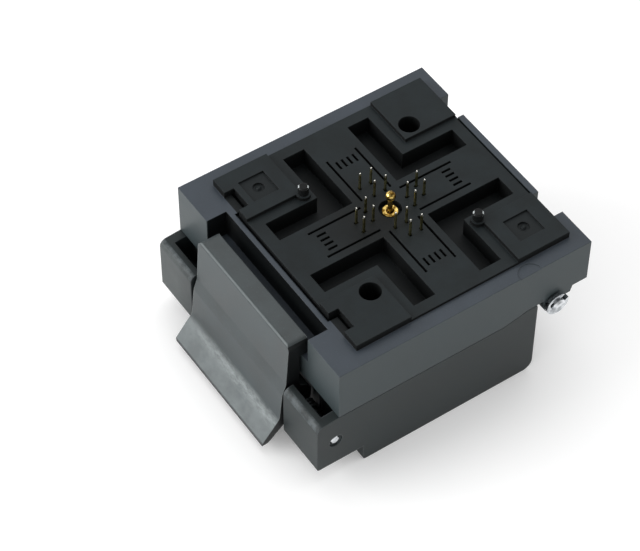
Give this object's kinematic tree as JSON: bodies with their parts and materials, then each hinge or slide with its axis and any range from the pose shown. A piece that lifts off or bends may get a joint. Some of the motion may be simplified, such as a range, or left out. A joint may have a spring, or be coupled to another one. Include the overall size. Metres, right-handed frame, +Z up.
{
  "type": "zero insertion force test socket",
  "caption": "Clamshell test socket for a small leadless chip, lying on its lid with the board side up: latch lever, hinged lid, solder tails and a sprung ground probe.",
  "frame": {"origin": "middle of the outline's bounding box on the surface that the lid's face lies on", "axes": "+Z up, out of the board side; +Y from the latch towards the hinge; +X across the socket, along the hinge pin"},
  "size_m": [0.0298, 0.034, 0.018],
  "materials": {
    "housing_plastic": "fine satin mould texture, glass-filled black",
    "latch_plastic": "satin dark grey, worn pale along the tab",
    "nest_plastic": "satin black",
    "contact_gold": "thin gold plating over copper alloy strip, satin",
    "probe_gold": "gold plating, turned finish",
    "spring_steel": "drawn stainless spring wire",
    "screw_steel": "turned stainless steel",
    "pin_steel": "ground stainless steel"
  },
  "bodies": {
    "lid": {"lid_frame": "housing_plastic", "hinge_pin": "pin_steel", "retaining_rings": "pin_steel", "hinge_spring_left": "spring_steel", "hinge_spring_right": "spring_steel", "latch_pin": "pin_steel", "latch_spring_left": "spring_steel", "latch_spring_right": "spring_steel", "pad_springs": "spring_steel"},
    "base": {"base_housing": "housing_plastic", "contacts_left": "contact_gold", "contacts_right": "contact_gold", "contacts_latch_side": "contact_gold", "contacts_hinge_side": "contact_gold", "probe_barrel": "probe_gold", "probe_spring": "spring_steel", "nest_springs": "spring_steel", "nest_screws": "screw_steel"},
    "latch": {"latch_lever": "latch_plastic"},
    "pad": {"pressure_pad": "nest_plastic", "pad_screws": "screw_steel"},
    "nest": {"floating_nest": "nest_plastic"},
    "board_plunger": {"probe_board_plunger": "probe_gold"},
    "chip_plunger": {"probe_chip_plunger": "probe_gold"}
  },
  "joints": [
    {"name": "base_open", "type": "hinge", "parent": "lid", "child": "base", "pos_m": [0, 0.01315, 0.0089], "axis": [-1, 0, 0], "range_deg": [0, 95]},
    {"name": "latch_release", "type": "hinge", "parent": "lid", "child": "latch", "pos_m": [0, -0.0126, 0.00555], "axis": [1, 0, 0], "range_deg": [0, 7], "stiffness_Nm_per_rad": 0.002, "springref_deg": -17.19},
    {"name": "pad_press", "type": "slide", "parent": "lid", "child": "pad", "axis": [0, 0, 1], "range_m": [-0.0006, 0], "stiffness_N_per_m": 80, "springref_m": 0.002, "deforming": ["pad_springs"]},
    {"name": "nest_float", "type": "slide", "parent": "base", "child": "nest", "axis": [0, 0, 1], "range_m": [0, 0.0004], "stiffness_N_per_m": 30, "springref_m": -0.002, "deforming": ["nest_springs"]},
    {"name": "board_plunger_press", "type": "slide", "parent": "base", "child": "board_plunger", "axis": [0, 0, 1], "range_m": [-0.001, 0], "stiffness_N_per_m": 4, "springref_m": 0.002, "deforming": ["probe_spring"]},
    {"name": "chip_plunger_press", "type": "slide", "parent": "base", "child": "chip_plunger", "axis": [0, 0, 1], "range_m": [0, 0.0004], "stiffness_N_per_m": 4, "springref_m": -0.002}
  ]
}
